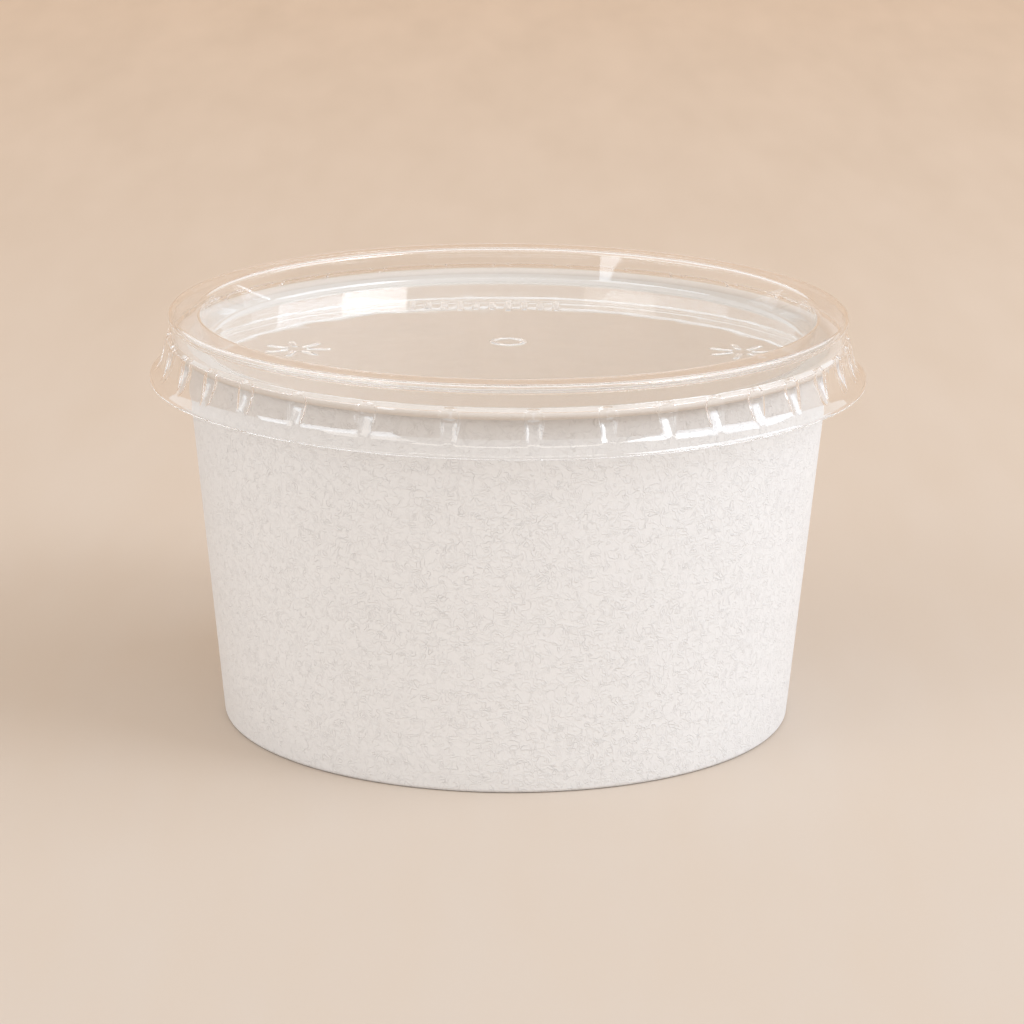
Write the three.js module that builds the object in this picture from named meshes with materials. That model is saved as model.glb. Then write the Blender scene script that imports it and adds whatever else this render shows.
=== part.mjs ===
// A squat paper tub for ice cream with a clear snap-on lid. Millimetres, +Z up.
// The origin is the centre of the foot, on the surface that the tub stands on.
// The front of the tub faces -Y and the side seam of its wall is at the back.
import * as THREE from 'three';
import { mergeVertices } from 'three/addons/utils/BufferGeometryUtils.js';

// Paper tub
const rimDiameter = 114.5; // over the rolled rim
const footDiameter = 97.9;
const cupHeight = 66.35; // foot to the top of the rolled rim
const board = 0.5; // thickness of the paperboard
const roll = { width: 2.5, height: 1.7 }; // section of the rolled rim, which is pressed flat
const rollEndAngle = -120; // where the free edge of the roll stops, degrees
const lapEnd = 3.8; // the seam is pressed flat from here up to the rim
const pocketFloor = 0.6; // the wall turns in here, under the flange of the bottom
const foldHeight = 7.4; // height of the wall's turned-in edge
const bottomHeight = 8.4; // underside of the recessed bottom
const bottomCorner = 1.4; // outer radius of the bend into the flange
const footChamfer = 0.35;
const fitGap = 0.3; // clearance between two pieces that lie against each other
const seamLap = 8; // width over which the two ends of the wall overlap
const seamEase = 7; // width over which the outer end settles back to the round
const seamStep = 0.35; // width of the step at each cut edge
const cupColumns = 72; // divisions round the tub

// Clear lid, with heights above the lower edge of its lip
const lipFoot = 59.7; // height of that edge above the foot of the tub
const lidSheet = 0.4; // thickness of the plastic
const lidDiameter = 122.8; // over the lip
const lidHeight = 11;
const plateHeight = 5.2; // upper face of the recessed centre
const plateRadius = 50.8;
const recessRadius = { foot: 51.7, top: 52.5 }; // wall round the recessed centre
const ringRadius = { inner: 53.4, outer: 57.1 }; // flat ring at the top
const edgeRadius = 58.1; // widest line of the rounded top edge
const bandRadius = { top: 57.6, foot: 57.5 };
const bandFootHeight = 7.25; // the lid sits on the rolled rim below this line
const shoulderRadius = 58.3;
const shoulderHeight = 6.7;
const skirtRadius = { head: 58.55, tail: 59.4, foot: 59.6 };
const skirtHeight = { head: 5.7, tail: 2.1, foot: 1.3 };
const lipRadius = 60.35; // where the skirt flares into the lip
const lipHeight = 0.6;

// Ribs pressed inwards round the skirt
const ribCount = 36;
const ribDepth = { head: 0.6, tail: 0.25 };
const ribHalfWidth = { head: 1.85, tail: 1.3 };
const firstRib = -70.9; // degrees from the front, positive towards +X
// The ribs aren't evenly spread: waves of drift, in degrees, move them along the skirt
const ribDrift = [
  { reach: 6.4, waves: 2, from: -18.2 }, // wider apart at the front and back than at the sides
  { reach: 1.55, waves: 5, from: -13.2 },
];

const toRadians = THREE.MathUtils.degToRad;

// Outer radius of the tapered wall at a height
function wallRadius(height) {
  const rollMiddle = cupHeight - roll.height / 2;
  const topRadius = rimDiameter / 2 - roll.width + board;
  const footRadius = footDiameter / 2;
  return footRadius + (topRadius - footRadius) * height / rollMiddle;
}

// Revolves a closed or axis-to-axis outline, given counter-clockwise in (r, z).
// place(row, column) returns the radius and the angle of each outline point in each column.
function revolve(outline, columnCount, place) {
  const points = outline.map((row) => new THREE.Vector2(row.r, row.z));
  const lathe = new THREE.LatheGeometry(points, columnCount);
  const position = lathe.getAttribute('position');
  for (let index = 0; index < position.count; index += 1) {
    const row = outline[index % outline.length];
    const column = Math.floor(index / outline.length) % columnCount;
    const { radius, angle } = place(row, column);
    position.setXYZ(index, radius * Math.sin(angle), -radius * Math.cos(angle), row.z);
  }
  lathe.deleteAttribute('normal');
  lathe.deleteAttribute('uv');
  const solid = mergeVertices(lathe, 1e-5);
  solid.computeVertexNormals();
  return solid;
}

// Points on part of an ellipse about (r, z), from one angle to another in degrees from the +r direction
function arc(centre, width, height, from, to, steps) {
  return Array.from({ length: steps + 1 }, (_, step) => {
    const angle = toRadians(from + (to - from) * step / steps);
    return {
      r: centre.r + width / 2 * Math.cos(angle),
      z: centre.z + height / 2 * Math.sin(angle),
    };
  });
}

// Angles round the wall. Evenly spread, except for the five that shape the lapped seam:
// outer and inner say how far, in board thicknesses, each face stands out there.
function seamedColumns() {
  const degreesPerMm = 180 / (Math.PI * wallRadius(cupHeight / 2));
  const halfLap = seamLap / 2 * degreesPerMm;
  const step = seamStep * degreesPerMm;
  const seam = [
    { turn: -halfLap - step, outer: 0, inner: 0 },
    { turn: -halfLap, outer: 1, inner: 0 },
    { turn: halfLap, outer: 1, inner: 0 },
    { turn: halfLap + step, outer: 1, inner: 1 },
    { turn: halfLap + seamEase * degreesPerMm, outer: 0, inner: 0 },
  ];
  const plain = cupColumns - seam.length;
  const seamEnd = seam.at(-1).turn;
  const round = 360 + seam[0].turn - seamEnd;
  for (let count = 1; count <= plain; count += 1) {
    seam.push({ turn: seamEnd + round * count / (plain + 1), outer: 0, inner: 0 });
  }
  return seam.map(({ turn, outer, inner }) => ({ angle: toRadians(180 + turn), outer, inner }));
}

// Side wall: foot, outer face, rolled rim, inner face, and the edge turned in at the foot
function makeCupWall() {
  const centre = { r: (rimDiameter - roll.width) / 2, z: cupHeight - roll.height / 2 };
  const underRim = cupHeight - lapEnd;
  const hollow = { width: roll.width - 2 * board, height: roll.height - 2 * board };
  const pocket = board + 2 * fitGap;
  const foldOuter = (height) => wallRadius(height) - board - pocket;
  const foldInner = (height) => foldOuter(height) - board;
  const outline = [
    { r: foldInner(0) + footChamfer, z: 0 },
    { r: wallRadius(0) - footChamfer, z: 0, face: 'outer' },
    { r: wallRadius(footChamfer), z: footChamfer, face: 'outer' },
    { r: wallRadius(underRim), z: underRim, face: 'outer' },
    ...arc(centre, hollow.width, hollow.height, 180, rollEndAngle, 5),
    ...arc(centre, roll.width, roll.height, rollEndAngle, 180, 7),
    { r: wallRadius(underRim) - board, z: underRim, face: 'inner' },
    { r: wallRadius(pocketFloor) - board, z: pocketFloor, face: 'inner' },
    { r: foldOuter(pocketFloor), z: pocketFloor },
    { r: foldOuter(foldHeight), z: foldHeight },
    { r: foldInner(foldHeight), z: foldHeight },
    { r: foldInner(footChamfer), z: footChamfer },
    { r: foldInner(0) + footChamfer, z: 0 },
  ];
  const columns = seamedColumns();
  return revolve(outline, cupColumns, (row, index) => {
    const column = columns[index];
    const lift = row.face ? column[row.face] : 0;
    return { radius: row.r + lift * board, angle: column.angle };
  });
}

// Recessed bottom: a flat disc with a flange that hangs in the pocket of the wall
function makeCupBottom() {
  const flangeFoot = pocketFloor + fitGap;
  const discTop = bottomHeight + board;
  const outer = (height) => wallRadius(height) - board - fitGap;
  const inner = (height) => outer(height) - board;
  const bend = { r: outer(discTop) - bottomCorner, z: discTop - bottomCorner };
  const bendOver = 2 * bottomCorner;
  const bendUnder = bendOver - 2 * board;
  const outline = [
    { r: 0, z: bottomHeight },
    ...arc(bend, bendUnder, bendUnder, 90, 0, 2),
    { r: inner(flangeFoot), z: flangeFoot },
    { r: outer(flangeFoot), z: flangeFoot },
    ...arc(bend, bendOver, bendOver, 0, 90, 3),
    { r: 0, z: discTop },
  ];
  return revolve(outline, cupColumns, (row, index) => (
    { radius: row.r, angle: 2 * Math.PI * index / cupColumns }
  ));
}

// Moves every point of an open line sideways, to the right of its direction of travel
function offsetLine(line, distance) {
  const directions = line.slice(1).map((point, index) => (
    new THREE.Vector2(point.r - line[index].r, point.z - line[index].z).normalize()
  ));
  return line.map((point, index) => {
    const before = directions[Math.max(index - 1, 0)];
    const after = directions[Math.min(index, directions.length - 1)];
    const along = before.clone().add(after).normalize();
    const reach = distance / along.dot(after);
    return { ...point, r: point.r + along.y * reach, z: point.z - along.x * reach };
  });
}

function ribAngle(rib) {
  const even = firstRib + 360 / ribCount * rib;
  const drift = ribDrift.map(({ reach, waves, from }) => (
    reach * Math.sin(toRadians(waves * (even - from)))
  ));
  return toRadians(drift.reduce((sum, shift) => sum + shift, even));
}

// Lid: one thin sheet with a recessed centre, a raised ring, a band, and a ribbed skirt with a lip
function makeLid() {
  const face = [
    { r: 0, z: plateHeight },
    { r: plateRadius, z: plateHeight },
    { r: recessRadius.foot, z: plateHeight + 0.6 },
    { r: recessRadius.top, z: lidHeight - 0.8 },
    { r: ringRadius.inner, z: lidHeight },
    { r: ringRadius.outer, z: lidHeight },
    { r: edgeRadius, z: lidHeight - 0.9 },
    { r: bandRadius.top, z: lidHeight - 1.5 },
    { r: bandRadius.foot, z: bandFootHeight },
    { r: shoulderRadius, z: shoulderHeight },
    { r: skirtRadius.head, z: skirtHeight.head, rib: 'head' },
    { r: skirtRadius.tail, z: skirtHeight.tail, rib: 'tail' },
    { r: skirtRadius.foot, z: skirtHeight.foot },
    { r: lipRadius, z: lipHeight },
    { r: lidDiameter / 2, z: 0 },
  ];
  const underside = offsetLine(face, lidSheet);
  const outline = [...underside, ...face.reverse()];
  // Four columns to each rib: one edge, the crest, the other edge, and halfway to the next rib
  const columnsPerRib = 4;
  return revolve(outline, ribCount * columnsPerRib, (row, index) => {
    const rib = Math.floor(index / columnsPerRib);
    const side = index % columnsPerRib - 1;
    const halfWidth = ribHalfWidth[row.rib ?? 'head'] / skirtRadius.head;
    const halfway = (ribAngle(rib) + ribAngle(rib + 1)) / 2;
    return {
      radius: row.r - (row.rib && side === 0 ? ribDepth[row.rib] : 0),
      angle: side > 1 ? halfway : ribAngle(rib) + side * halfWidth,
    };
  });
}

function namedMesh(name, geometry, finish) {
  const mesh = new THREE.Mesh(geometry, new THREE.MeshStandardMaterial(finish));
  mesh.name = name;
  return mesh;
}

const paperboard = { color: 0xe9e4df, roughness: 0.85, metalness: 0 };
const liningBoard = { color: 0xe6dfd7, roughness: 0.6, metalness: 0 };
const clearPlastic = { color: 0xf2ece6, roughness: 0.06, metalness: 0, transparent: true, opacity: 0.35 };

const cup = new THREE.Group();
cup.add(namedMesh('cup_wall', makeCupWall(), paperboard));
cup.add(namedMesh('cup_bottom', makeCupBottom(), liningBoard));

const lid = namedMesh('lid', makeLid(), clearPlastic);
lid.position.z = lipFoot;

const tub = new THREE.Group();
tub.add(cup, lid);

export default tub;
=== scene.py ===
import math
import bpy
import numpy as np
from mathutils import Matrix, Vector
from mathutils.geometry import delaunay_2d_cdt


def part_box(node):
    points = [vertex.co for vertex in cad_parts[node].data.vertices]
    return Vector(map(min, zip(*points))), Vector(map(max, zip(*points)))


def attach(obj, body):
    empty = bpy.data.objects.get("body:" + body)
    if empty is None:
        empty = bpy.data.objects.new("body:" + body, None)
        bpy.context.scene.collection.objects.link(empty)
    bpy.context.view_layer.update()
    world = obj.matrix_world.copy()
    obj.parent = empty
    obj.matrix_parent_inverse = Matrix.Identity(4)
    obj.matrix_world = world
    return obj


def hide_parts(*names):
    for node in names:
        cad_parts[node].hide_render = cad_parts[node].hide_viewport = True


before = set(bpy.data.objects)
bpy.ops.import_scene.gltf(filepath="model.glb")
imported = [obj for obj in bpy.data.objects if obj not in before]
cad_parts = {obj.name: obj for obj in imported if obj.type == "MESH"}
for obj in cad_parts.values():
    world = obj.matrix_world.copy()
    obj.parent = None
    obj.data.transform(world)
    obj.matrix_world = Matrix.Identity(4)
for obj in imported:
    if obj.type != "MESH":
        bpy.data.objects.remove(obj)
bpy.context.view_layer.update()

mm = 0.001  # the shapes below are worked out in millimetres
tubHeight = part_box("cup_wall")[1].z / mm
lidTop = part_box("lid")[1].z / mm


# Shader helpers

class Wire:
    # A socket to write sums with: every operator adds its Math node.
    def __init__(self, finish, socket):
        self.finish = finish
        self.socket = socket

    def maths(self, operation, *values):
        return self.finish.node("ShaderNodeMath", {"operation": operation}, dict(enumerate(values)))

    def __add__(self, other):
        return self.maths("ADD", self, other)

    def __sub__(self, other):
        return self.maths("SUBTRACT", self, other)

    def __rsub__(self, other):
        return self.maths("SUBTRACT", other, self)

    def __mul__(self, other):
        return self.maths("MULTIPLY", self, other)

    def __pow__(self, other):
        return self.maths("POWER", self, other)

    def __abs__(self):
        return self.maths("ABSOLUTE", self)


class Finish:
    # One material, put together node by node.
    def __init__(self, name):
        self.material = bpy.data.materials.new(name)
        self.material.use_nodes = True
        self.tree = self.material.node_tree
        self.tree.nodes.clear()

    def node(self, kind, settings=None, sockets=None, out=0):
        made = self.tree.nodes.new(kind)
        for setting, value in (settings or {}).items():
            setattr(made, setting, value)
        for socket, value in (sockets or {}).items():
            if isinstance(value, Wire):
                self.tree.links.new(value.socket, made.inputs[socket])
            else:
                made.inputs[socket].default_value = value
        return Wire(self, made.outputs[out]) if len(made.outputs) else None

    def noise(self, place, grainSize, shift=0, **sockets):
        # grainSize in millimetres; a shift, in metres, makes the noise differ from one without it
        if shift:
            place = self.node("ShaderNodeVectorMath", {"operation": "ADD"},
                              {0: place, 1: (shift, shift, shift)})
        return self.node("ShaderNodeTexNoise", None,
                         {"Vector": place, "Scale": 1 / (grainSize * mm), **sockets})

    def blend(self, share, first, second):
        return self.node("ShaderNodeMix", {"data_type": "RGBA"}, {0: share, 6: first, 7: second}, out=2)

    def bump(self, height, depth, strength=1.0):
        # depth in millimetres
        return self.node("ShaderNodeBump", None,
                         {"Height": height, "Distance": depth * mm, "Strength": strength})

    def show(self, surface):
        self.node("ShaderNodeOutputMaterial", None, {"Surface": surface})
        return self.material


def tone(red, green, blue):
    # a colour as a screen shows it, 0 to 255, in the linear values that Blender takes
    shares = [value / 255 for value in (red, green, blue)]
    return (*[s / 12.92 if s < 0.04 else ((s + 0.055) / 1.055) ** 2.4 for s in shares], 1)


# Shape helpers. A line is an array of (radius, height) points.

def roundedLine(corners, turnPerStep=12):
    # corners are (radius, height, fillet radius)
    points = [corners[0][:2]]
    for before, corner, after in zip(corners, corners[1:], corners[2:]):
        here, fillet = np.array(corner[:2]), corner[2]
        inward = here - before[:2]
        outward = np.array(after[:2]) - here
        inward, outward = inward / np.linalg.norm(inward), outward / np.linalg.norm(outward)
        turn = math.atan2(inward[0] * outward[1] - inward[1] * outward[0], inward @ outward)
        if fillet == 0 or math.isclose(turn, 0, abs_tol=1e-4):
            points.append(tuple(here))
            continue
        start = here - inward * fillet * math.tan(abs(turn) / 2)
        toCentre = np.array([-inward[1], inward[0]]) * math.copysign(fillet, turn)
        steps = max(2, math.ceil(math.degrees(abs(turn)) / turnPerStep))
        for step in range(steps + 1):
            angle = turn * step / steps
            spin = np.array([[math.cos(angle), -math.sin(angle)], [math.sin(angle), math.cos(angle)]])
            points.append(tuple(start + toCentre - spin @ toCentre))
    points.append(corners[-1][:2])
    return np.array(points, float)


def divided(line, longest, low=-math.inf, high=math.inf):
    # cuts the stretches that lie between two heights into steps no longer than longest
    points = [line[0]]
    for start, end in zip(line, line[1:]):
        inside = low <= min(start[1], end[1]) and max(start[1], end[1]) <= high
        steps = max(1, math.ceil(np.linalg.norm(end - start) / longest)) if inside else 1
        points += [start + (end - start) * step / steps for step in range(1, steps + 1)]
    return np.array(points)


def besideLine(line, distance):
    # the line moved sideways, to the right of its direction of travel
    step = np.diff(line, axis=0)
    step /= np.linalg.norm(step, axis=1)[:, None]
    before, after = np.vstack([step[:1], step]), np.vstack([step, step[-1:]])
    along = before + after
    along /= np.linalg.norm(along, axis=1)[:, None]
    reach = distance / np.sum(along * after, axis=1)
    return line + np.stack([along[:, 1], -along[:, 0]], 1) * reach[:, None]


def arcLine(centre, reach, start, end, steps):
    # reach is a radius, or for an oval its reach across and its reach up
    angles = np.radians(np.linspace(start, end, steps + 1))
    return np.array(centre) + np.array(reach) * np.stack([np.cos(angles), np.sin(angles)], 1)


def aroundAxis(radius, angle, height):
    # points row by row; angle 0 faces the front, and grows towards +X
    radius, angle, height = np.broadcast_arrays(radius, angle, height)
    return np.stack([radius * np.sin(angle), -radius * np.cos(angle), height], -1).reshape(-1, 3)


def ringFaces(rowCount, columnCount, closed):
    # quads between neighbouring rows, each row a ring of columns
    row = np.arange(rowCount if closed else rowCount - 1)[:, None] * columnCount
    above = (row + columnCount) % (rowCount * columnCount)
    column = np.arange(columnCount)[None, :]
    beside = (column + 1) % columnCount
    return np.stack([row + column, row + beside, above + beside, above + column], -1).reshape(-1, 4)


def makePiece(name, points, faces, finishes, faceFinish=0, sharpFrom=180):
    # sharpFrom is the bend, in degrees, from which an edge stays sharp
    shape = bpy.data.meshes.new(name)
    shape.from_pydata((np.asarray(points) * mm).tolist(), [], [list(map(int, face)) for face in faces])
    for finish in finishes:
        shape.materials.append(finish)
    shape.polygons.foreach_set("material_index", np.broadcast_to(faceFinish, len(faces)).astype(np.int32))
    shape.polygons.foreach_set("use_smooth", np.ones(len(faces), bool))
    shape.set_sharp_from_angle(angle=math.radians(sharpFrom))
    shape.update()
    piece = bpy.data.objects.new(name, shape)
    bpy.context.scene.collection.objects.link(piece)
    print(f"{name}: {len(points)} points, {len(faces)} faces")
    return piece


def eased(share):
    return share * share * (3 - 2 * share)


# Paperboard

boardLook = {
    "outside": {
        "colour": tone(238, 240, 242), "fibreColour": tone(217, 218, 220), "roughness": 0.86,
        "fibreSize": 1.5, "fibreDepth": 0.1, "grainSize": 0.3, "cloudSize": 14, "cloud": 0.0,
    },
    "lining": {
        "colour": tone(246, 245, 243), "fibreColour": tone(236, 234, 231), "roughness": 0.75,
        "fibreSize": 1.6, "fibreDepth": 0.008, "grainSize": 0.5, "cloudSize": 22, "cloud": 0.3,
    },
    # the rolled rim is the outside board, but warmer in tone: painted shade, which dims the roll where it
    # shows through the lid
    "rim": {
        "colour": tone(238, 234, 230), "fibreColour": tone(226, 220, 214), "roughness": 0.85,
        "fibreSize": 1.25, "fibreDepth": 0.012, "grainSize": 0.4, "cloudSize": 14, "cloud": 0.3,
    },
    "cutEdge": {
        "colour": tone(226, 215, 200), "fibreColour": tone(196, 182, 164), "roughness": 0.95,
        "fibreSize": 0.5, "fibreDepth": 0.03, "grainSize": 0.12, "cloudSize": 6, "cloud": 0.9,
    },
}

# what the four kinds of board have in common
fibreLook = {
    "bend": 1.6, "thinness": 12,  # of the winding ridges
    "patchSize": 0.8,  # of the patches that keep a ridge, in fibre sizes
    "patchShift": 0.3, "grainShift": 0.6, "cloudShift": 0.9,
    "fibreShade": 0.5, "grainShade": 0.2, "grainMiddle": 0.4, "cloudMiddle": 0.5,
    "grainHeight": 0.25,  # against the height of a fibre
    "shine": 0.3,
}


def boardFinish(name, look):
    board = Finish(name)
    place = board.node("ShaderNodeTexCoord", out="Object")

    # thin winding ridges, thinned out into short curls
    wave = board.noise(place, look["fibreSize"], Detail=1.0, Distortion=fibreLook["bend"])
    patchSize = look["fibreSize"] * fibreLook["patchSize"]
    patch = board.noise(place, patchSize, shift=fibreLook["patchShift"], Detail=0.0)
    fibres = (1 - abs(wave * 2 - 1)) ** fibreLook["thinness"] * patch
    grain = board.noise(place, look["grainSize"], shift=fibreLook["grainShift"], Detail=1.0)
    cloud = board.noise(place, look["cloudSize"], shift=fibreLook["cloudShift"], Detail=2.0)
    fibreShade = fibres * fibreLook["fibreShade"]
    grainShade = (grain - fibreLook["grainMiddle"]) * fibreLook["grainShade"]
    cloudShade = (cloud - fibreLook["cloudMiddle"]) * look["cloud"]
    relief = fibres + grain * fibreLook["grainHeight"]
    surface = board.node("ShaderNodeBsdfPrincipled", None, {
        "Base Color": board.blend(fibreShade + grainShade + cloudShade, look["colour"], look["fibreColour"]),
        "Roughness": look["roughness"],
        "Specular IOR Level": fibreLook["shine"],
        "Normal": board.bump(relief, look["fibreDepth"]),
    })
    return board.show(surface)


boardFinishes = [boardFinish(f"board_{name}", look) for name, look in boardLook.items()]
outsideIndex, liningIndex, paintedShadeRimIndex, cutEdgeIndex = range(len(boardLook))
print("paperboard finishes made")

tub = {
    "rimRadius": 57.25,  # over the rolled rim
    "footRadius": 48.95,
    "board": 0.5,  # thickness of the paperboard
    "rollWidth": 2.5, "rollHeight": 1.7,  # section of the rolled rim, which is pressed flat
    "rollEnd": -120,  # where the free edge of the roll stops, in degrees
    "rollSink": 0.1,  # the wall ends this far below the middle of the roll
    "rollSteps": {"hollow": 18, "over": 26},
    "gap": 0.3,
    "foldHeight": 7.4,  # of the edge that is turned in under the bottom
    "foldRadius": 0.75,
    "pocketFloor": 0.6,
    "pocketRadius": 0.25,
    "pocketShare": 0.75,  # of the pocket's width, where the turned-in edge ends and the wall begins
    "bottomHeight": 8.4,  # underside of the recessed bottom
    "bottomBend": 1.4,
    "bottomMiddle": 1.0,  # radius of the flat discs that close the bottom in the middle
    "columns": 360,
    "wallStep": 6, "bottomStep": 5,  # longest stretch between two rows
    "seamLap": 8, "seamStep": 0.35, "seamEase": 7,
    "seamColumns": [2, 12, 6, 7],  # over the cut edge, the lap, the bridge and the rest of the seam
    "liningStep": 5.5,  # width over which the coating bridges the inner step
    "seamFade": 2.4,  # height below the rim over which the lap is pressed flat
    "sharpFrom": 40,
}


def wallRadius(height):
    # outer face of the tapered wall
    topRadius = tub["rimRadius"] - tub["rollWidth"] + tub["board"]
    topHeight = tubHeight - tub["rollHeight"] / 2
    return tub["footRadius"] + (topRadius - tub["footRadius"]) * height / topHeight


def seamColumns():
    # angles round the wall, and how far its two faces stand out at the lapped seam at the back
    perMm = 1 / wallRadius(tubHeight / 2)
    sizes = tub["seamLap"] / 2, tub["seamStep"], tub["liningStep"], tub["seamEase"]
    lap, step, bridge, ease = (size * perMm for size in sizes)
    stops = [-lap - step, -lap, lap, lap + bridge, lap + ease, 2 * math.pi - lap - step]
    counts = [*tub["seamColumns"], tub["columns"] - 1]
    turns = np.concatenate([
        np.linspace(start, end, count + 1)[:-1] for start, end, count in zip(stops, stops[1:], counts)
    ])
    settle = eased(np.clip((lap + ease - turns) / (ease - step), 0, 1))
    outer = np.interp(turns, [-lap - step, -lap], [0, 1]) * settle
    inner = eased(np.clip((turns - lap) / bridge, 0, 1)) * settle
    return math.pi + turns, outer * tub["board"], inner * tub["board"]


def makeWall():
    board = tub["board"]
    pocket = board + 2 * tub["gap"]
    roll = np.array([tub["rollWidth"], tub["rollHeight"]]) / 2
    rollCentre = np.array([tub["rimRadius"], tubHeight]) - roll
    rollFoot = rollCentre[1] - tub["rollSink"]
    rollSteps = tub["rollSteps"]

    def foldOuter(height):
        return wallRadius(height) - board - pocket

    def foldInner(height):
        return foldOuter(height) - board

    def onWall(line):
        return line[:, 0] > foldOuter(0) + tub["pocketShare"] * pocket

    outside = divided(np.vstack([
        roundedLine([
            (foldInner(tub["foldHeight"]), tub["foldHeight"], 0),
            (foldInner(0), 0, tub["foldRadius"]),
            (wallRadius(0), 0, tub["foldRadius"]),
            (wallRadius(rollFoot), rollFoot, 0),
        ]),
        arcLine(rollCentre, roll - board, 180, tub["rollEnd"], rollSteps["hollow"]),
    ]), tub["wallStep"])
    lining = divided(np.vstack([
        arcLine(rollCentre, roll, tub["rollEnd"], 180, rollSteps["over"]),
        roundedLine([
            (wallRadius(rollFoot) - board, rollFoot, 0),
            (wallRadius(tub["pocketFloor"]) - board, tub["pocketFloor"], tub["pocketRadius"]),
            (foldOuter(tub["pocketFloor"]), tub["pocketFloor"], tub["pocketRadius"]),
            (foldOuter(tub["foldHeight"]), tub["foldHeight"], 0),
        ]),
    ]), tub["wallStep"])
    rows = np.vstack([outside, lining])
    angles, outerLift, innerLift = seamColumns()
    # the lap stands out on the wall only: it is pressed flat in the roll and in the turned-in foot
    fade = eased(np.clip((rollFoot - rows[:, 1]) / tub["seamFade"], 0, 1)) * onWall(rows)
    lift = np.vstack([np.tile(outerLift, (len(outside), 1)), np.tile(innerLift, (len(lining), 1))])
    points = aroundAxis(rows[:, :1] + lift * fade[:, None], angles, rows[:, 1:])
    finish = np.full((len(rows), len(angles)), liningIndex)
    finish[:len(outside)] = outsideIndex
    # the rolled rim takes the warmer board, whose tone is painted shade under the lid
    finish[len(outside):len(outside) + rollSteps["over"]] = paintedShadeRimIndex
    finish[[len(outside) - 1, len(rows) - 1]] = cutEdgeIndex  # end of the roll, end of the fold
    cutColumns = tub["seamColumns"][0]
    finish[:len(outside), :cutColumns] = np.where(onWall(outside)[:, None], cutEdgeIndex, outsideIndex)
    wall = makePiece("tub_wall", points, ringFaces(*finish.shape, True), boardFinishes,
                     finish.ravel(), sharpFrom=tub["sharpFrom"])
    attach(wall, "root")
    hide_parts("cup_wall")


def makeBottom():
    board, middle = tub["board"], tub["bottomMiddle"]
    flangeFoot = tub["pocketFloor"] + tub["gap"]
    discTop = tub["bottomHeight"] + board

    def outer(height):
        return wallRadius(height) - board - tub["gap"]

    under = divided(roundedLine([
        (middle, tub["bottomHeight"], 0),
        (outer(discTop) - board, tub["bottomHeight"], tub["bottomBend"] - board),
        (outer(flangeFoot) - board, flangeFoot, 0),
    ]), tub["bottomStep"])
    over = divided(roundedLine([
        (outer(flangeFoot), flangeFoot, 0),
        (outer(discTop), discTop, tub["bottomBend"]),
        (middle, discTop, 0),
    ]), tub["bottomStep"])
    rows = np.vstack([under, over])
    angles = np.linspace(0, 2 * math.pi, tub["columns"] // 2, endpoint=False)
    points = aroundAxis(rows[:, :1], angles, rows[:, 1:])
    finish = np.full((len(rows) - 1, len(angles)), liningIndex)
    finish[:len(under)] = outsideIndex
    finish[len(under) - 1] = cutEdgeIndex
    # the two discs in the middle close the piece
    first = np.arange(len(angles))
    last = first + (len(rows) - 1) * len(angles)
    faces = [*ringFaces(len(rows), len(angles), False), first[::-1], last]
    finish = [*finish.ravel(), outsideIndex, liningIndex]
    bottom = makePiece("tub_bottom", points, faces, boardFinishes, finish, sharpFrom=tub["sharpFrom"])
    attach(bottom, "root")
    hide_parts("cup_bottom")


makeWall()
makeBottom()
print("paper tub made")


# Clear lid, with heights above the lower edge of its lip

lid = {
    "sheet": 0.4,  # thickness of the plastic
    "height": 11,
    "plateHeight": 5.2,
    "plateRing": 50.0,  # inside it lies the flat disc with its raised marks
    "face": [  # upper face, from the plate to the lip: radius, height, fillet
        (51.6, 5.2, 0.9),
        (52.65, 11, 0.9),
        (58.1, 11, 0.75),
        (58.1, 9.92, 0.75),
        (57.6, 9.42, 0.25),
        (57.5, 7.25, 0.3),
        (58.3, 6.7, 0.4),
        (59.5, 1.55, 3.0),
        (61.1, 0.35, 0.4),  # the lip turns down at its edge
        (61.35, 0, 0),
    ],
    "turnPerStep": 9, "lipSteps": 6,
    "ribCount": 36,
    "firstRib": -70.9,  # degrees from the front
    # the ribs aren't evenly spread: reach in degrees, number of waves, start in degrees
    "ribDrift": [(6.4, 2, -18.2), (1.55, 5, -13.2)],
    "ribFoot": 1.35, "ribTail": 2.7, "ribShoulder": 5.6, "ribTop": 7.3,  # heights
    "ribHalfWidth": {"tail": 1.4, "shoulder": 1.85, "top": 1.2},
    "ribBed": [(1.35, 59.62), (2.3, 59.15), (4.6, 57.95), (6.5, 57.72), (7.3, 57.5)],  # height, radius
    "ribSide": 0.6,  # length over which a rib rises again at its sides
    "ribCrown": 0.12,  # share of the depth that it loses towards its sides
    "skirtFrom": 57.5,  # radius outside which the ribs are pressed in
    # columns of points over a rib in half widths, and on to the middle of the gap beside it
    "ribShares": [-1.07, -0.94, -0.84, -0.74, -0.45, 0, 0.45, 0.74, 0.84, 0.94, 1.07],
    "gapShares": [0.4, 0.8],
    # the columns are evenly spread over the plate and the ring, and follow the ribs from the band down
    "ringFrom": 55.0, "bandTop": 9.2, "bandFoot": 7.4,
    "rowStep": 0.45, "rowsTo": 9.25,  # the rows are close together from the ribs' feet up to here
}


def ribPlaces():
    # angles of the middle of each rib, and of the gaps before and after it
    even = lid["firstRib"] + 360 / lid["ribCount"] * np.arange(lid["ribCount"] + 1)
    drift = sum(reach * np.sin(np.radians(waves * (even - start))) for reach, waves, start in lid["ribDrift"])
    middles = np.radians(even + drift)
    gaps = (middles[:-1] + middles[1:]) / 2
    return middles[:-1], np.append(gaps[-1] - 2 * math.pi, gaps[:-1]), gaps


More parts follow.
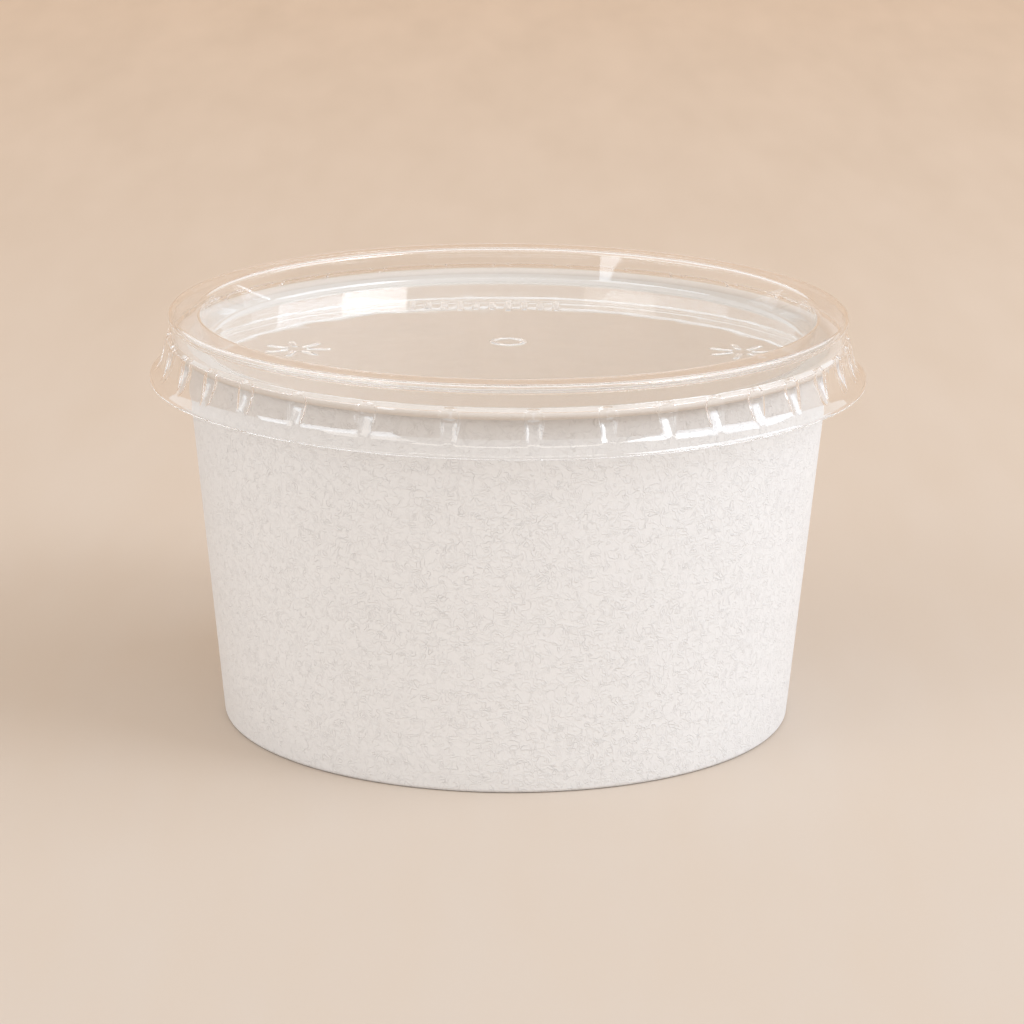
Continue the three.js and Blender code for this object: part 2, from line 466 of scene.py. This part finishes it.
def lidColumns(radii, heights):
    # the angle of every column in every row, and its distance from the middle of its rib
    middles, before, after = (places[None, :, None] for places in ribPlaces())
    wide = lid["ribHalfWidth"]
    halfWidth = np.interp(heights, [lid["ribTail"], lid["ribShoulder"]], [wide["tail"], wide["shoulder"]])
    rib = middles + np.array(lid["ribShares"]) * (halfWidth / radii)[:, None, None]
    first, last, toGap = rib[:, :, :1], rib[:, :, -1:], np.array(lid["gapShares"])
    toBefore = first - (first - before) * toGap[::-1]
    toAfter = last + (after - last) * toGap
    ribbed = np.concatenate([toBefore, rib, toAfter], axis=2)
    count = ribbed.shape[2]
    even = before + (after - before) * (np.arange(count) + 0.5) / count
    downBand = eased(np.clip((lid["bandTop"] - heights) / (lid["bandTop"] - lid["bandFoot"]), 0, 1))
    follow = np.where(radii > lid["ringFrom"], downBand, 0)[:, None, None]
    angles = even + follow * (ribbed - even)
    across = (angles - middles) * radii[:, None, None]
    return angles.reshape(len(radii), -1), across.reshape(len(radii), -1)


def ribPress(across, heights, radii):
    # how far the skirt is pressed inwards: a rib is widest at its shoulder and round at its foot
    foot, tail, shoulder, top = (lid[key] for key in ("ribFoot", "ribTail", "ribShoulder", "ribTop"))
    wide = lid["ribHalfWidth"]
    width = np.interp(heights, [tail, shoulder, top], [wide["tail"], wide["shoulder"], wide["top"]])
    width = width * np.sqrt(1 - np.clip((tail - heights) / (tail - foot), 0, 1) ** 2)
    depth = np.maximum(radii - np.interp(heights, *zip(*lid["ribBed"])), 0)
    depth = depth * ((foot < heights) & (heights < top))
    side = eased(np.clip((width[:, None] - abs(across)) / lid["ribSide"], 0, 1))
    return depth[:, None] * side * (1 - lid["ribCrown"] * (across / wide["shoulder"]) ** 2)


# Raised marks on the plate: two plain rosettes of bars, a row of bars, and a ring in the middle

mark = {
    "height": 0.12, "width": 1.0,
    # section of a mark's side: distance inwards from the edge, share of the height
    "insets": [(-0.3, 0), (0, 0), (0.13, 0.4), (0.27, 0.85), (0.42, 1)],
    "rosettes": [(-35.8, -7.0), (39.6, -6.5)],
    "rosetteBars": 7, "rosetteReach": [2.1, 5.2],
    "rowStart": (-17.2, 29.0), "rowPitch": 2.85, "rowCount": 10, "rowReach": 3.4,
    "longEvery": 3, "shortShare": 0.75,  # in the row, every third bar is long
    "ringRadius": 2.6,
    "endPoints": 8, "ringPoints": 48,
    "weld": 1e-5,  # points closer together than this count as one
}


def barLoop(start, end, inset):
    # outline of a bar with round ends
    radius = mark["width"] / 2 - inset
    along = math.atan2(end[1] - start[1], end[0] - start[0])
    loop = []
    for centre, first in ((end, along - math.pi / 2), (start, along + math.pi / 2)):
        loop += [(centre[0] + radius * math.cos(first + turn), centre[1] + radius * math.sin(first + turn))
                 for turn in np.linspace(0, math.pi, mark["endPoints"])]
    return loop


def markLoops():
    # closed loops of points on the plate, each with its height
    bars = []
    near, far = mark["rosetteReach"]
    for x, y in mark["rosettes"]:
        for bar in range(mark["rosetteBars"]):
            turn = 2 * math.pi * bar / mark["rosetteBars"]
            away = Vector((math.cos(turn), math.sin(turn)))
            bars.append((Vector((x, y)) + away * near, Vector((x, y)) + away * far))
    for bar in range(mark["rowCount"]):
        middle = Vector(mark["rowStart"]) + Vector((mark["rowPitch"] * bar, 0))
        reach = Vector((0, mark["rowReach"] * (mark["shortShare"] if bar % mark["longEvery"] else 1.0)))
        bars.append((middle - reach, middle + reach))
    loops = [(barLoop(start, end, inset), mark["height"] * share)
             for start, end in bars for inset, share in mark["insets"]]
    inner, outer = mark["ringRadius"] - mark["width"] / 2, mark["ringRadius"] + mark["width"] / 2
    turns = np.linspace(0, 2 * math.pi, mark["ringPoints"], endpoint=False)
    for inset, share in mark["insets"]:
        for radius in (inner + inset, outer - inset):
            loop = [(radius * math.cos(turn), radius * math.sin(turn)) for turn in turns]
            loops.append((loop, mark["height"] * share))
    return loops


def plateDisc(ring):
    # triangles from the ring of plate points inwards, over the raised marks
    flat, heights, edges = [], [], []
    for loop, height in [(ring.tolist(), 0.0), *markLoops()]:
        start = len(flat)
        flat += loop
        heights += [height] * len(loop)
        edges += [(start + i, start + (i + 1) % len(loop)) for i in range(len(loop))]
    places = [Vector(place) for place in flat]
    _, _, faces, sources, _, _ = delaunay_2d_cdt(places, edges, [], 0, mark["weld"], True)
    faces = np.array([[sources[corner][0] for corner in face] for face in faces])
    flat, heights = np.array(flat), np.array(heights)
    a, b, c = (flat[faces[:, corner]] for corner in range(3))
    turned = np.cross(b - a, c - a) < 0
    faces[turned] = faces[turned][:, ::-1]
    return flat, heights, faces, heights[faces].max(axis=1) > 0


clearLook = {
    "colour": tone(255, 255, 255), "refraction": 1.53,
    "drawSize": 9, "drawDepth": 0.04, "drawStrength": 0.5,  # uneven draw of the moulded sheet
    "through": tone(244, 243, 242),  # what is left of light that goes straight through
    "parts": {
        "sheet": {"roughness": 0.01, "transmission": 1.0},
        "raised": {"roughness": 0.12, "transmission": 0.8},  # the marks are a little frosted
    },
}


def clearFinish(name, part):
    sheet = Finish(name)
    place = sheet.node("ShaderNodeTexCoord", out="Object")
    drawn = sheet.noise(place, clearLook["drawSize"], Detail=1.0)
    plastic = sheet.node("ShaderNodeBsdfPrincipled", None, {
        "Base Color": clearLook["colour"],
        "Roughness": part["roughness"],
        "IOR": clearLook["refraction"],
        "Transmission Weight": part["transmission"],
        "Normal": sheet.bump(drawn, clearLook["drawDepth"], clearLook["drawStrength"]),
    })
    # light on its way from the lamps, or between rough surfaces, goes straight through
    clear = sheet.node("ShaderNodeBsdfTransparent", None, {"Color": clearLook["through"]})
    fromLamp = sheet.node("ShaderNodeLightPath", out="Is Shadow Ray")
    fromRough = sheet.node("ShaderNodeLightPath", out="Is Diffuse Ray")
    inner = sheet.node("ShaderNodeMixShader", None, {0: fromRough, 1: plastic, 2: clear})
    return sheet.show(sheet.node("ShaderNodeMixShader", None, {0: fromLamp, 1: inner, 2: clear}))


def lidShell():
    # the sheet outside the plate, row by row: its underside outwards, the edge of the lip, its top inwards
    corners = [(lid["plateRing"], lid["plateHeight"], 0), *lid["face"]]
    line = roundedLine(corners, lid["turnPerStep"])
    face = divided(line, lid["rowStep"], lid["ribFoot"], lid["rowsTo"])
    under = besideLine(face, lid["sheet"])
    angles, across = lidColumns(face[:, 0], face[:, 1])
    press = np.where(face[:, :1] > lid["skirtFrom"], ribPress(across, face[:, 1], face[:, 0]), 0)
    lip = (face[-1] + under[-1]) / 2
    lipTurn = math.degrees(math.atan2(*(under[-1] - lip)[::-1]))
    edge = arcLine(lip, lid["sheet"] / 2, lipTurn, lipTurn + 180, lid["lipSteps"])[1:-1]
    radius = np.vstack([
        under[:, :1] - press,
        np.repeat(edge[:, :1], press.shape[1], 1),
        (face[:, :1] - press)[::-1],
    ])
    angles = np.vstack([angles, np.repeat(angles[-1:], len(edge), 0), angles[::-1]])
    height = np.concatenate([under[:, 1], edge[:, 1], face[::-1, 1]])
    return aroundAxis(radius, angles, height[:, None]), radius.shape


def makeLid():
    shell, (rowCount, columnCount) = lidShell()
    faces = ringFaces(rowCount, columnCount, False).tolist()
    finish = [0] * len(faces)
    # the discs under and over, welded to the first and the last row
    flat, heights, disc, raised = plateDisc(shell[:columnCount, :2])
    marks, markHeights = flat[columnCount:], heights[columnCount:]
    parts, used = [shell], len(shell)
    for level, rowStart, flip in ((-lid["sheet"], 0, True), (0, len(shell) - columnCount, False)):
        renumber = np.concatenate([rowStart + np.arange(columnCount), used + np.arange(len(marks))])
        corners = renumber[disc]
        faces += (corners[:, ::-1] if flip else corners).tolist()
        finish += raised.astype(int).tolist()
        parts.append(np.column_stack([marks, markHeights + lid["plateHeight"] + level]))
        used += len(marks)
    points = np.vstack(parts) + (0, 0, lidTop - lid["height"])
    clearFinishes = [clearFinish(f"clear_{name}", part) for name, part in clearLook["parts"].items()]
    piece = makePiece("clear_lid", points, faces, clearFinishes, finish)
    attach(piece, "root")
    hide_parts("lid")


makeLid()
print("clear lid made")


# Studio: a pale sweep all round, soft lamps, and the camera

studio = {
    "floorRadius": 0.95, "sweepRadius": 0.45, "wallHeight": 0.56,  # metres
    "middleRadius": 5, "columns": 96, "turnPerStep": 6,  # millimetres, count, degrees
    "frontColour": tone(206, 197, 188), "backColour": tone(233, 215, 197),
    "frontEdge": -0.3, "backEdge": 0.9,  # the card is a little deeper in colour at the back
    "mottleColour": tone(209, 192, 174),
    "mottleSize": 22, "mottleStretch": (1, 0.22, 1), "mottleRoughness": 0.6, "speckSize": 0.8,
    "mottleShare": 0.7, "speckShare": 0.2, "mottleStart": 0.3,
    "roughness": 0.9, "shine": 0.2,
    "skyColour": (1.0, 0.86, 0.73, 1), "skyStrength": 0.76,
    "ceilingColour": (1.0, 1.0, 1.0, 1), "ceilingStrength": 1.15,
}


def floorFinish():
    card = Finish("pale_card")
    place = card.node("ShaderNodeTexCoord", out="Object")
    drawnOut = card.node("ShaderNodeVectorMath", {"operation": "MULTIPLY"},
                         {0: place, 1: studio["mottleStretch"]})
    mottle = card.noise(drawnOut, studio["mottleSize"], Detail=2.0, Roughness=studio["mottleRoughness"])
    speck = card.noise(place, studio["speckSize"], Detail=1.0)
    depth = card.node("ShaderNodeSeparateXYZ", None, {"Vector": place}, out="Y")
    back = (depth - studio["frontEdge"]) * (1 / (studio["backEdge"] - studio["frontEdge"]))
    colour = card.blend(back, studio["frontColour"], studio["backColour"])
    stain = mottle * studio["mottleShare"] + speck * studio["speckShare"] - studio["mottleStart"]
    surface = card.node("ShaderNodeBsdfPrincipled", None, {
        "Base Color": card.blend(stain, colour, studio["mottleColour"]),
        "Roughness": studio["roughness"],
        "Specular IOR Level": studio["shine"],
    })
    return card.show(surface)


def makeSweep():
    flat, bend, top = (studio[key] / mm for key in ("floorRadius", "sweepRadius", "wallHeight"))
    corners = [(studio["middleRadius"], 0, 0), (flat + bend, 0, bend), (flat + bend, top, 0)]
    line = roundedLine(corners, studio["turnPerStep"])
    angles = np.linspace(0, 2 * math.pi, studio["columns"], endpoint=False)
    points = aroundAxis(line[:, :1], -angles, line[:, 1:])
    faces = [*ringFaces(len(line), len(angles), False), np.arange(len(angles))]
    makePiece("sweep", points, faces, [floorFinish()])


softboxes = {
    # degrees round from the front towards +X, degrees up, distance and size in metres, power in watts
    "keyLamp": {"azimuth": 61, "elevation": 38, "distance": 1.2, "size": (0.52, 0.42), "power": 2.8,
                "colour": (0.9, 0.95, 1.0)},
    "sideLamp": {"azimuth": 80, "elevation": 32, "distance": 1.2, "size": (1.2, 0.7), "power": 6.8,
                 "colour": (0.74, 0.86, 1.0)},
    "fillLamp": {"azimuth": -50, "elevation": 36, "distance": 1.2, "size": (0.55, 0.38), "power": 1.0,
                 "colour": (1.0, 1.0, 1.0)},
    "lowLamp": {"azimuth": -62, "elevation": 22, "distance": 1.2, "size": (1.1, 0.3), "power": 3.1,
                "colour": (0.76, 0.88, 1.0)},
    "frontCard": {"azimuth": 0, "elevation": 4.5, "distance": 0.95, "size": (1.1, 0.13), "power": 0.6,
                  "colour": (0.7, 0.85, 1.0)},
    "edgeLamp": {"azimuth": 0, "elevation": 60, "distance": 1.2, "size": (1.0, 0.1), "power": 0.9,
                 "colour": (1.0, 1.0, 1.0)},
}


def makeLamp(name, azimuth, elevation, distance, size, power, colour):
    lamp = bpy.data.lights.new(name, "AREA")
    lamp.shape = "RECTANGLE"
    lamp.size, lamp.size_y = size
    lamp.energy = power
    lamp.color = colour
    turn, rise = math.radians(azimuth), math.radians(elevation)
    away = Vector((math.sin(turn) * math.cos(rise), -math.cos(turn) * math.cos(rise), math.sin(rise)))
    holder = bpy.data.objects.new(name, lamp)
    holder.location = Vector((0, 0, tubHeight / 2 * mm)) + away * distance
    holder.rotation_euler = away.to_track_quat("Z", "Y").to_euler()
    holder.visible_camera = False
    bpy.context.scene.collection.objects.link(holder)


def makeSky():
    # a warm sky lights the tub, and the clear sheet mirrors a white ceiling
    sky = bpy.data.worlds.new("paleSky")
    sky.use_nodes = True
    nodes, links = sky.node_tree.nodes, sky.node_tree.links
    light, ceiling = nodes["Background"], nodes.new("ShaderNodeBackground")
    light.inputs["Color"].default_value = studio["skyColour"]
    light.inputs["Strength"].default_value = studio["skyStrength"]
    ceiling.inputs["Color"].default_value = studio["ceilingColour"]
    ceiling.inputs["Strength"].default_value = studio["ceilingStrength"]
    rays, choice = nodes.new("ShaderNodeLightPath"), nodes.new("ShaderNodeMixShader")
    links.new(rays.outputs["Is Glossy Ray"], choice.inputs[0])
    links.new(light.outputs[0], choice.inputs[1])
    links.new(ceiling.outputs[0], choice.inputs[2])
    links.new(choice.outputs[0], nodes["World Output"].inputs["Surface"])
    bpy.context.scene.world = sky


view = {
    "target": (0.855, 0, 34.7), "distance": 712.3,  # millimetres
    "elevation": 14.896, "roll": 0.44,  # degrees
    "lens": 144.68, "sensor": 36,
    "nearest": 0.05,  # metres
}


def makeCamera():
    camera = bpy.data.cameras.new("camera")
    camera.lens, camera.sensor_width, camera.sensor_fit = view["lens"], view["sensor"], "HORIZONTAL"
    camera.clip_start = view["nearest"]
    holder = bpy.data.objects.new("camera", camera)
    rise = math.radians(view["elevation"])
    back = Vector((0, -math.cos(rise), math.sin(rise))) * view["distance"]
    place = (Vector(view["target"]) + back) * mm
    tilt = Matrix.Rotation(math.pi / 2 - rise, 4, "X") @ Matrix.Rotation(math.radians(view["roll"]), 4, "Z")
    holder.matrix_world = Matrix.Translation(place) @ tilt
    bpy.context.scene.collection.objects.link(holder)
    bpy.context.scene.camera = holder


makeSweep()
for lampName, lampLook in softboxes.items():
    makeLamp(lampName, **lampLook)
makeSky()
makeCamera()

scene = bpy.context.scene
scene.view_settings.view_transform = "Standard"
scene.cycles.use_denoising = True
sheetBounces = 300  # light runs a long way inside the clear sheet before it leaves
scene.cycles.max_bounces = sheetBounces
scene.cycles.transmission_bounces = sheetBounces
scene.cycles.glossy_bounces = sheetBounces
scene.cycles.diffuse_bounces = 3
scene.cycles.transparent_max_bounces = 24
scene.cycles.caustics_reflective = False
scene.cycles.caustics_refractive = False
print("studio made")
